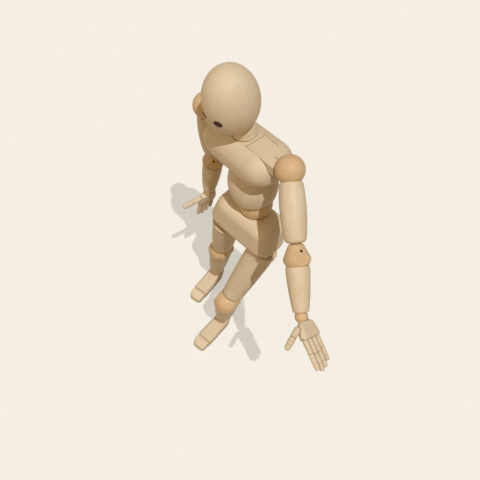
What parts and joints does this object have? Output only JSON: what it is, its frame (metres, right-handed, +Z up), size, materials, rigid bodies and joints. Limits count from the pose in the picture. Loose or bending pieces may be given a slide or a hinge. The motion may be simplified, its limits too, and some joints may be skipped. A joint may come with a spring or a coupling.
{
  "type": "jointed wooden figure",
  "caption": "Standing wooden artist's figure with an egg-shaped head, ball and knuckle joints, turned limbs, hinged fingers and toes, posed by hand as a drawing model.",
  "frame": {"origin": "on the floor, under the middle of the posed figure's bounding box", "axes": "+Z up through the standing figure, the figure's front faces -Y and its left side is +X; joint value 0 is the pictured pose"},
  "size_m": [0.242, 0.17, 0.398],
  "materials": {
    "maple": "fine-sanded pale hardwood, satin",
    "joint_wood": "turned warmer hardwood, satin",
    "pin_metal": "dark cross pin, ground flush",
    "eye_stain": "dark stained oval inlay, satin"
  },
  "bodies": {
    "pelvis": {"pelvis": "maple"},
    "waist_ball": {"waist_ball": "joint_wood"},
    "abdomen": {"abdomen": "maple"},
    "chest": {"chest_front": "maple", "chest_back": "maple"},
    "neck": {"neck": "maple"},
    "head": {"head": "maple", "eyes": "eye_stain"},
    "left_clavicle": {"left_clavicle": "maple"},
    "left_shoulder_ball": {"left_shoulder_ball": "joint_wood"},
    "left_upper_arm": {"left_upper_arm": "maple"},
    "left_elbow": {"left_elbow_knuckle": "joint_wood", "left_elbow_pin": "pin_metal"},
    "left_forearm": {"left_forearm": "maple"},
    "left_wrist_ball": {"left_wrist_ball": "joint_wood"},
    "left_palm": {"left_palm": "maple"},
    "right_clavicle": {"right_clavicle": "maple"},
    "right_shoulder_ball": {"right_shoulder_ball": "joint_wood"},
    "right_upper_arm": {"right_upper_arm": "maple"},
    "right_elbow": {"right_elbow_knuckle": "joint_wood", "right_elbow_pin": "pin_metal"},
    "right_forearm": {"right_forearm": "maple"},
    "right_wrist_ball": {"right_wrist_ball": "joint_wood"},
    "right_palm": {"right_palm": "maple"},
    "left_hip_ball": {"left_hip_ball": "joint_wood"},
    "left_thigh": {"left_thigh": "maple"},
    "left_knee": {"left_knee_knuckle": "joint_wood", "left_knee_pin": "pin_metal"},
    "left_shin": {"left_shin": "maple"},
    "left_ankle_ball": {"left_ankle_ball": "joint_wood"},
    "left_foot": {"left_foot": "maple"},
    "left_toe": {"left_toe": "maple"},
    "right_hip_ball": {"right_hip_ball": "joint_wood"},
    "right_thigh": {"right_thigh": "maple"},
    "right_knee": {"right_knee_knuckle": "joint_wood", "right_knee_pin": "pin_metal"},
    "right_shin": {"right_shin": "maple"},
    "right_ankle_ball": {"right_ankle_ball": "joint_wood"},
    "right_foot": {"right_foot": "maple"},
    "right_toe": {"right_toe": "maple"},
    "left_index_base": {"left_index_base": "maple"},
    "left_index_tip": {"left_index_tip": "maple"},
    "left_middle_base": {"left_middle_base": "maple"},
    "left_middle_tip": {"left_middle_tip": "maple"},
    "left_ring_base": {"left_ring_base": "maple"},
    "left_ring_tip": {"left_ring_tip": "maple"},
    "left_little_base": {"left_little_base": "maple"},
    "left_little_tip": {"left_little_tip": "maple"},
    "left_thumb_base": {"left_thumb_base": "maple"},
    "left_thumb_tip": {"left_thumb_tip": "maple"},
    "right_index_base": {"right_index_base": "maple"},
    "right_index_tip": {"right_index_tip": "maple"},
    "right_middle_base": {"right_middle_base": "maple"},
    "right_middle_tip": {"right_middle_tip": "maple"},
    "right_ring_base": {"right_ring_base": "maple"},
    "right_ring_tip": {"right_ring_tip": "maple"},
    "right_little_base": {"right_little_base": "maple"},
    "right_little_tip": {"right_little_tip": "maple"},
    "right_thumb_base": {"right_thumb_base": "maple"},
    "right_thumb_tip": {"right_thumb_tip": "maple"}
  },
  "joints": [
    {"name": "waist_bend", "type": "hinge", "parent": "pelvis", "child": "waist_ball", "pos_m": [-0.03065, 0.02707, 0.24747], "axis": [0.947, -0.2046, 0.2476], "range_deg": [-12, 15]},
    {"name": "waist_side", "type": "hinge", "parent": "waist_ball", "child": "abdomen", "pos_m": [-0.03065, 0.02707, 0.24747], "axis": [0.1717, 0.974, 0.1478], "range_deg": [-3, 20]},
    {"name": "waist_turn", "type": "hinge", "parent": "abdomen", "child": "chest", "pos_m": [-0.04409, 0.02225, 0.29487], "axis": [-0.2714, -0.0974, 0.9575], "range_deg": [-25, 25]},
    {"name": "neck_turn", "type": "hinge", "parent": "chest", "child": "neck", "pos_m": [-0.05474, 0.01632, 0.33072], "axis": [-0.2927, -0.2321, 0.9276], "range_deg": [-60, 60]},
    {"name": "head_nod", "type": "hinge", "parent": "neck", "child": "head", "pos_m": [-0.05661, 0.01484, 0.33666], "axis": [0.9511, -0.1713, 0.2572], "range_deg": [-20, 18]},
    {"name": "left_clavicle_raise", "type": "hinge", "parent": "chest", "child": "left_clavicle", "pos_m": [-0.03874, 0.0139, 0.32812], "axis": [-0.1717, -0.974, -0.1478], "range_deg": [0, 15]},
    {"name": "left_shoulder_swing", "type": "hinge", "parent": "left_clavicle", "child": "left_shoulder_ball", "pos_m": [0.00085, 0.00486, 0.34166], "axis": [-0.947, 0.2046, -0.2476], "range_deg": [-45, 40]},
    {"name": "left_shoulder_spread", "type": "hinge", "parent": "left_shoulder_ball", "child": "left_upper_arm", "pos_m": [0.00085, 0.00486, 0.34166], "axis": [-0.2942, -0.862, 0.4129], "range_deg": [-10, 35]},
    {"name": "left_elbow_turn", "type": "hinge", "parent": "left_upper_arm", "child": "left_elbow", "pos_m": [0.04796, -0.02969, 0.30309], "axis": [-0.6729, 0.4936, 0.551], "range_deg": [-10, 30]},
    {"name": "left_elbow_bend", "type": "hinge", "parent": "left_elbow", "child": "left_forearm", "pos_m": [0.04796, -0.02969, 0.30309], "axis": [-0.5098, 0.2302, -0.8289], "range_deg": [0, 70]},
    {"name": "left_wrist_bend", "type": "hinge", "parent": "left_forearm", "child": "left_wrist_ball", "pos_m": [0.08026, -0.05338, 0.27665], "axis": [0.6787, 0.1158, 0.7252], "range_deg": [-25, 25]},
    {"name": "left_wrist_side", "type": "hinge", "parent": "left_wrist_ball", "child": "left_palm", "pos_m": [0.08026, -0.05338, 0.27665], "axis": [-0.21, -0.9157, 0.3427], "range_deg": [-20, 20]},
    {"name": "right_clavicle_raise", "type": "hinge", "parent": "chest", "child": "right_clavicle", "pos_m": [-0.06715, 0.02003, 0.32069], "axis": [0.1717, 0.974, 0.1478], "range_deg": [0, 15]},
    {"name": "right_shoulder_swing", "type": "hinge", "parent": "right_clavicle", "child": "right_shoulder_ball", "pos_m": [-0.10843, 0.02847, 0.31308], "axis": [-0.947, 0.2046, -0.2476], "range_deg": [-40, 70]},
    {"name": "right_shoulder_spread", "type": "hinge", "parent": "right_shoulder_ball", "child": "right_upper_arm", "pos_m": [-0.10843, 0.02847, 0.31308], "axis": [0.1646, 0.9711, 0.1728], "range_deg": [0, 50]},
    {"name": "right_elbow_turn", "type": "hinge", "parent": "right_upper_arm", "child": "right_elbow", "pos_m": [-0.09498, 0.03829, 0.24509], "axis": [-0.1922, -0.1403, 0.9713], "range_deg": [-20, 20]},
    {"name": "right_elbow_bend", "type": "hinge", "parent": "right_elbow", "child": "right_forearm", "pos_m": [-0.09498, 0.03829, 0.24509], "axis": [-0.6981, 0.7152, -0.0349], "range_deg": [-11.5, 70]},
    {"name": "right_wrist_bend", "type": "hinge", "parent": "right_forearm", "child": "right_wrist_ball", "pos_m": [-0.09253, 0.03833, 0.19716], "axis": [0.9815, -0.1849, 0.0498], "range_deg": [-25, 25]},
    {"name": "right_wrist_side", "type": "hinge", "parent": "right_wrist_ball", "child": "right_palm", "pos_m": [-0.09253, 0.03833, 0.19716], "axis": [0.1795, 0.9789, 0.0973], "range_deg": [-20, 20]},
    {"name": "left_hip_swing", "type": "hinge", "parent": "pelvis", "child": "left_hip_ball", "pos_m": [-0.00695, 0.02707, 0.19287], "axis": [-1, 0, 0], "range_deg": [-25, 20]},
    {"name": "left_hip_spread", "type": "hinge", "parent": "left_hip_ball", "child": "left_thigh", "pos_m": [-0.00695, 0.02707, 0.19287], "axis": [0, -0.9686, 0.2487], "range_deg": [0, 12]},
    {"name": "left_knee_turn", "type": "hinge", "parent": "left_thigh", "child": "left_knee", "pos_m": [-0.01501, 0.00415, 0.10362], "axis": [0.0872, 0.2477, 0.9649], "range_deg": [-8, 8]},
    {"name": "left_knee_bend", "type": "hinge", "parent": "left_knee", "child": "left_shin", "pos_m": [-0.01501, 0.00415, 0.10362], "axis": [0.9907, 0.0797, -0.11], "range_deg": [-30.1, 50]},
    {"name": "left_ankle_nod", "type": "hinge", "parent": "left_shin", "child": "left_ankle_ball", "pos_m": [-0.02619, 0.02775, 0.02], "axis": [0.9981, 0.061, 0], "range_deg": [-20, 20]},
    {"name": "left_ankle_side", "type": "hinge", "parent": "left_ankle_ball", "child": "left_foot", "pos_m": [-0.02619, 0.02775, 0.02], "axis": [-0.061, 0.9981, 0], "range_deg": [-10, 10]},
    {"name": "left_toe_bend", "type": "hinge", "parent": "left_foot", "child": "left_toe", "pos_m": [-0.02405, -0.00719, 0.0055], "axis": [-0.9981, -0.061, 0], "range_deg": [0, 35]},
    {"name": "right_hip_swing", "type": "hinge", "parent": "pelvis", "child": "right_hip_ball", "pos_m": [-0.05435, 0.02707, 0.19287], "axis": [-1, 0, 0], "range_deg": [-12, 35]},
    {"name": "right_hip_spread", "type": "hinge", "parent": "right_hip_ball", "child": "right_thigh", "pos_m": [-0.05435, 0.02707, 0.19287], "axis": [0, 0.9677, 0.2521], "range_deg": [0, 10]},
    {"name": "right_knee_turn", "type": "hinge", "parent": "right_thigh", "child": "right_knee", "pos_m": [-0.0661, 0.0502, 0.10408], "axis": [0.1271, -0.25, 0.9599], "range_deg": [-8, 8]},
    {"name": "right_knee_bend", "type": "hinge", "parent": "right_knee", "child": "right_shin", "pos_m": [-0.0661, 0.0502, 0.10408], "axis": [0.9919, 0.032, -0.123], "range_deg": [0, 70]},
    {"name": "right_ankle_nod", "type": "hinge", "parent": "right_shin", "child": "right_ankle_ball", "pos_m": [-0.07723, 0.0721, 0.02], "axis": [0.9917, 0.1288, 0], "range_deg": [-20, 20]},
    {"name": "right_ankle_side", "type": "hinge", "parent": "right_ankle_ball", "child": "right_foot", "pos_m": [-0.07723, 0.0721, 0.02], "axis": [-0.1288, 0.9917, 0], "range_deg": [-10, 10]},
    {"name": "right_toe_bend", "type": "hinge", "parent": "right_foot", "child": "right_toe", "pos_m": [-0.07273, 0.03739, 0.0055], "axis": [-0.9917, -0.1288, 0], "range_deg": [0, 35]},
    {"name": "left_index_curl", "type": "hinge", "parent": "left_palm", "child": "left_index_base", "pos_m": [0.09602, -0.06649, 0.27314], "axis": [0.21, 0.9157, -0.3427], "range_deg": [0, 45]},
    {"name": "left_index_tip_curl", "type": "hinge", "parent": "left_index_base", "child": "left_index_tip", "pos_m": [0.10674, -0.07036, 0.26939], "axis": [0.21, 0.9157, -0.3427], "range_deg": [0, 45]},
    {"name": "left_middle_curl", "type": "hinge", "parent": "left_palm", "child": "left_middle_base", "pos_m": [0.09707, -0.06192, 0.27143], "axis": [0.21, 0.9157, -0.3427], "range_deg": [0, 45]},
    {"name": "left_middle_tip_curl", "type": "hinge", "parent": "left_middle_base", "child": "left_middle_tip", "pos_m": [0.10868, -0.0661, 0.26736], "axis": [0.21, 0.9157, -0.3427], "range_deg": [0, 45]},
    {"name": "left_ring_curl", "type": "hinge", "parent": "left_palm", "child": "left_ring_base", "pos_m": [0.09812, -0.05734, 0.26972], "axis": [0.21, 0.9157, -0.3427], "range_deg": [0, 45]},
    {"name": "left_ring_tip_curl", "type": "hinge", "parent": "left_ring_base", "child": "left_ring_tip", "pos_m": [0.10928, -0.06136, 0.2658], "axis": [0.21, 0.9157, -0.3427], "range_deg": [0, 45]},
    {"name": "left_little_curl", "type": "hinge", "parent": "left_palm", "child": "left_little_base", "pos_m": [0.09917, -0.05276, 0.268], "axis": [0.21, 0.9157, -0.3427], "range_deg": [0, 45]},
    {"name": "left_little_tip_curl", "type": "hinge", "parent": "left_little_base", "child": "left_little_tip", "pos_m": [0.10855, -0.05614, 0.26471], "axis": [0.21, 0.9157, -0.3427], "range_deg": [0, 45]},
    {"name": "left_thumb_curl", "type": "hinge", "parent": "left_palm", "child": "left_thumb_base", "pos_m": [0.08559, -0.06601, 0.27769], "axis": [0.9157, 0.2455, -0.318], "range_deg": [0, 18]},
    {"name": "left_thumb_tip_curl", "type": "hinge", "parent": "left_thumb_base", "child": "left_thumb_tip", "pos_m": [0.08777, -0.07522, 0.27688], "axis": [0.9157, 0.2455, -0.318], "range_deg": [0, 45]},
    {"name": "right_index_curl", "type": "hinge", "parent": "right_palm", "child": "right_index_base", "pos_m": [-0.09558, 0.03321, 0.17723], "axis": [-0.1795, -0.9789, -0.0973], "range_deg": [0, 45]},
    {"name": "right_index_tip_curl", "type": "hinge", "parent": "right_index_base", "child": "right_index_tip", "pos_m": [-0.09663, 0.03458, 0.16535], "axis": [-0.1795, -0.9789, -0.0973], "range_deg": [0, 45]},
    {"name": "right_middle_curl", "type": "hinge", "parent": "right_palm", "child": "right_middle_base", "pos_m": [-0.09468, 0.0381, 0.17772], "axis": [-0.1795, -0.9789, -0.0973], "range_deg": [0, 45]},
    {"name": "right_middle_tip_curl", "type": "hinge", "parent": "right_middle_base", "child": "right_middle_tip", "pos_m": [-0.09582, 0.03959, 0.16485], "axis": [-0.1795, -0.9789, -0.0973], "range_deg": [0, 45]},
    {"name": "right_ring_curl", "type": "hinge", "parent": "right_palm", "child": "right_ring_base", "pos_m": [-0.09378, 0.043, 0.1782], "axis": [-0.1795, -0.9789, -0.0973], "range_deg": [0, 45]},
    {"name": "right_ring_tip_curl", "type": "hinge", "parent": "right_ring_base", "child": "right_ring_tip", "pos_m": [-0.09488, 0.04443, 0.16583], "axis": [-0.1795, -0.9789, -0.0973], "range_deg": [0, 45]},
    {"name": "right_little_curl", "type": "hinge", "parent": "right_palm", "child": "right_little_base", "pos_m": [-0.09289, 0.04789, 0.17869], "axis": [-0.1795, -0.9789, -0.0973], "range_deg": [0, 45]},
    {"name": "right_little_tip_curl", "type": "hinge", "parent": "right_little_base", "child": "right_little_tip", "pos_m": [-0.09381, 0.04909, 0.1683], "axis": [-0.1795, -0.9789, -0.0973], "range_deg": [0, 45]},
    {"name": "right_thumb_curl", "type": "hinge", "parent": "right_palm", "child": "right_thumb_base", "pos_m": [-0.09522, 0.02873, 0.18769], "axis": [-0.0426, -0.4418, 0.8961], "range_deg": [0, 18]},
    {"name": "right_thumb_tip_curl", "type": "hinge", "parent": "right_thumb_base", "child": "right_thumb_tip", "pos_m": [-0.09859, 0.02083, 0.18364], "axis": [-0.0426, -0.4418, 0.8961], "range_deg": [0, 45]}
  ]
}
